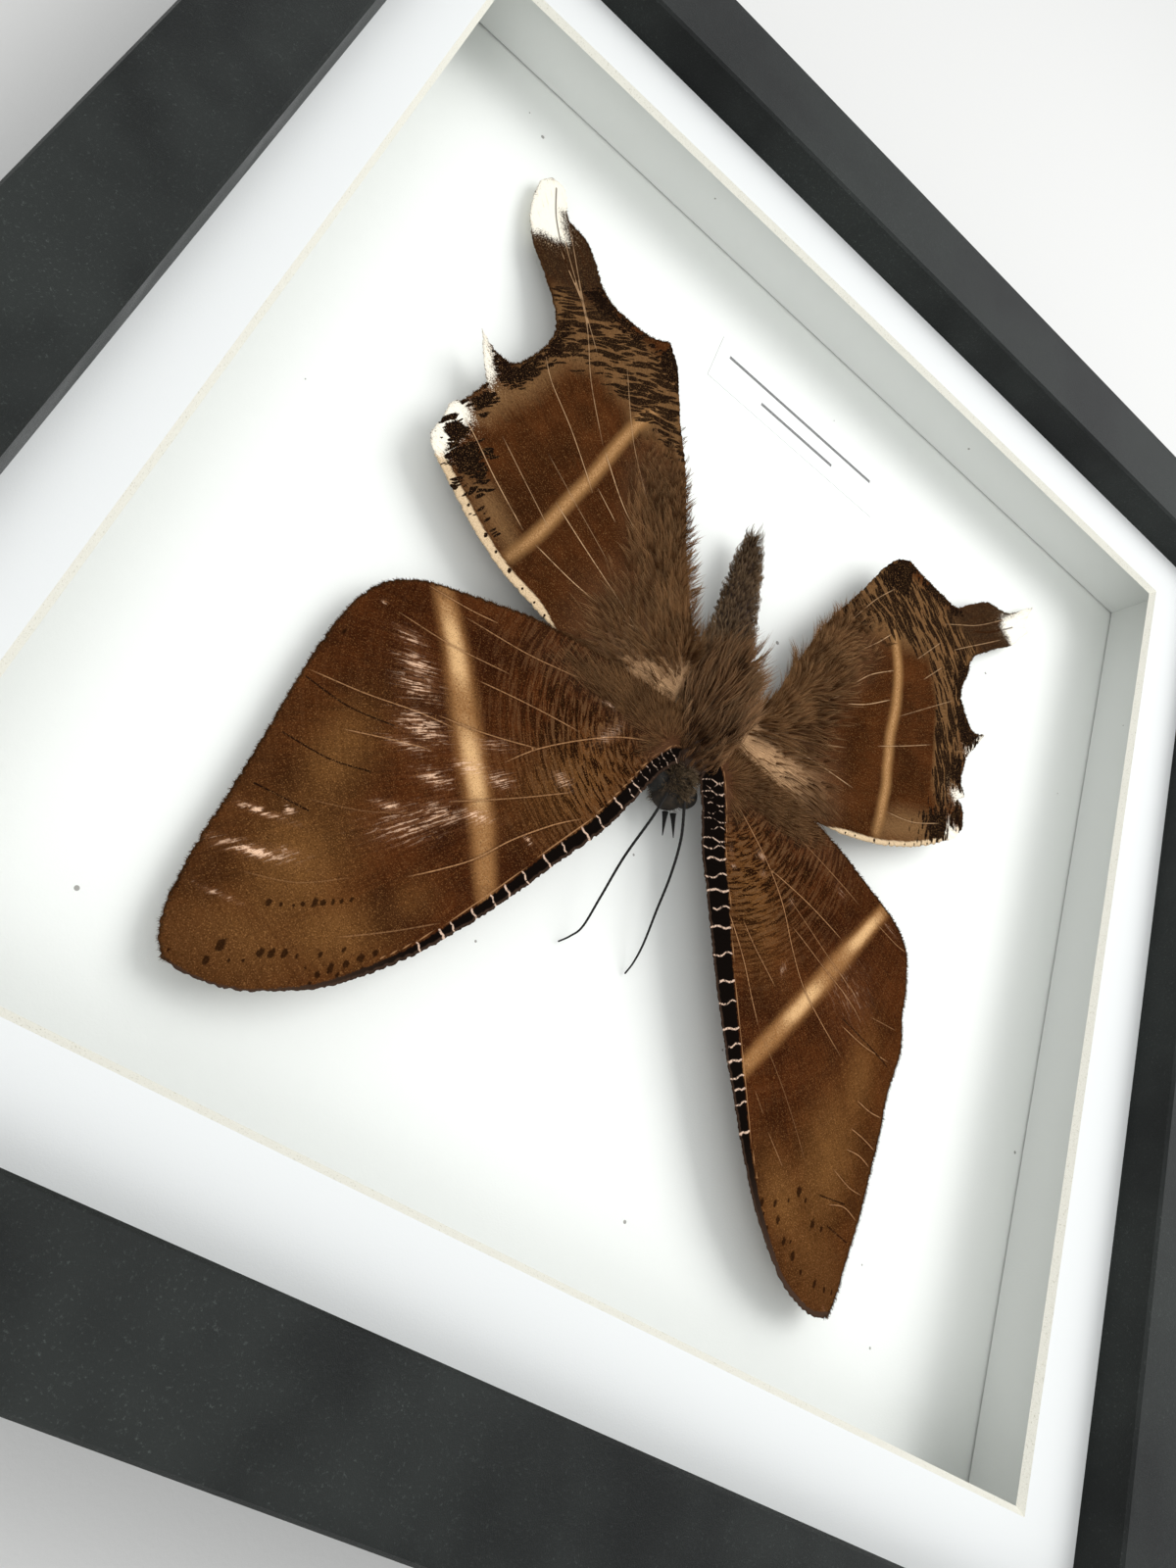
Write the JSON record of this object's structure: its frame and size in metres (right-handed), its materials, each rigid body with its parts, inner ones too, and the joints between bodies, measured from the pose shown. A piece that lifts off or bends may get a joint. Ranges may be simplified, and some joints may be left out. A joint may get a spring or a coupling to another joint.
{
  "type": "framed swallowtail moth specimen",
  "caption": "Square black box frame with a bevelled white mat over a white board that carries a spread brown swallowtail moth.",
  "frame": {"origin": "middle of the frame's rear plane, where it lies on its back", "axes": "+Z out of the front of the frame, +Y from the bottom rail to the top rail, +X to the viewer's right"},
  "size_m": [0.25, 0.25, 0.034],
  "materials": {
    "frame_black": "black satin paint over fine-grained board",
    "mat_white": "matt white card with a cream bevelled edge",
    "board_white": "matt white card",
    "panel_brown": "bare hardboard",
    "label_paper": "matt white paper",
    "steel": "plain zinc-plated sheet",
    "wing_brown": "silky brown wing scales with a cream band",
    "body_fur": "long brown fur-like scales",
    "head_dark": "dark horny surface with short fuzz"
  },
  "bodies": {
    "root": {"rail_top": "frame_black", "spacer_top": "board_white", "rail_bottom": "frame_black", "spacer_bottom": "board_white", "rail_left": "frame_black", "spacer_left": "board_white", "rail_right": "frame_black", "spacer_right": "board_white", "mat": "mat_white", "mount_board": "board_white", "backing_panel": "panel_brown", "label_slip": "label_paper", "hanger": "steel", "hanger_rivet_left": "steel", "hanger_rivet_right": "steel", "mounting_pin": "steel", "head": "head_dark", "thorax": "body_fur", "abdomen": "body_fur", "forewing_left": "wing_brown", "forewing_right": "wing_brown", "hindwing_left": "wing_brown", "hindwing_right": "wing_brown", "antenna_left": "head_dark", "antenna_right": "head_dark", "palp_left": "head_dark", "palp_right": "head_dark", "point_1": "steel", "point_2": "steel", "point_3": "steel", "point_4": "steel", "point_5": "steel", "point_6": "steel", "point_7": "steel", "point_8": "steel"}
  },
  "joints": []
}
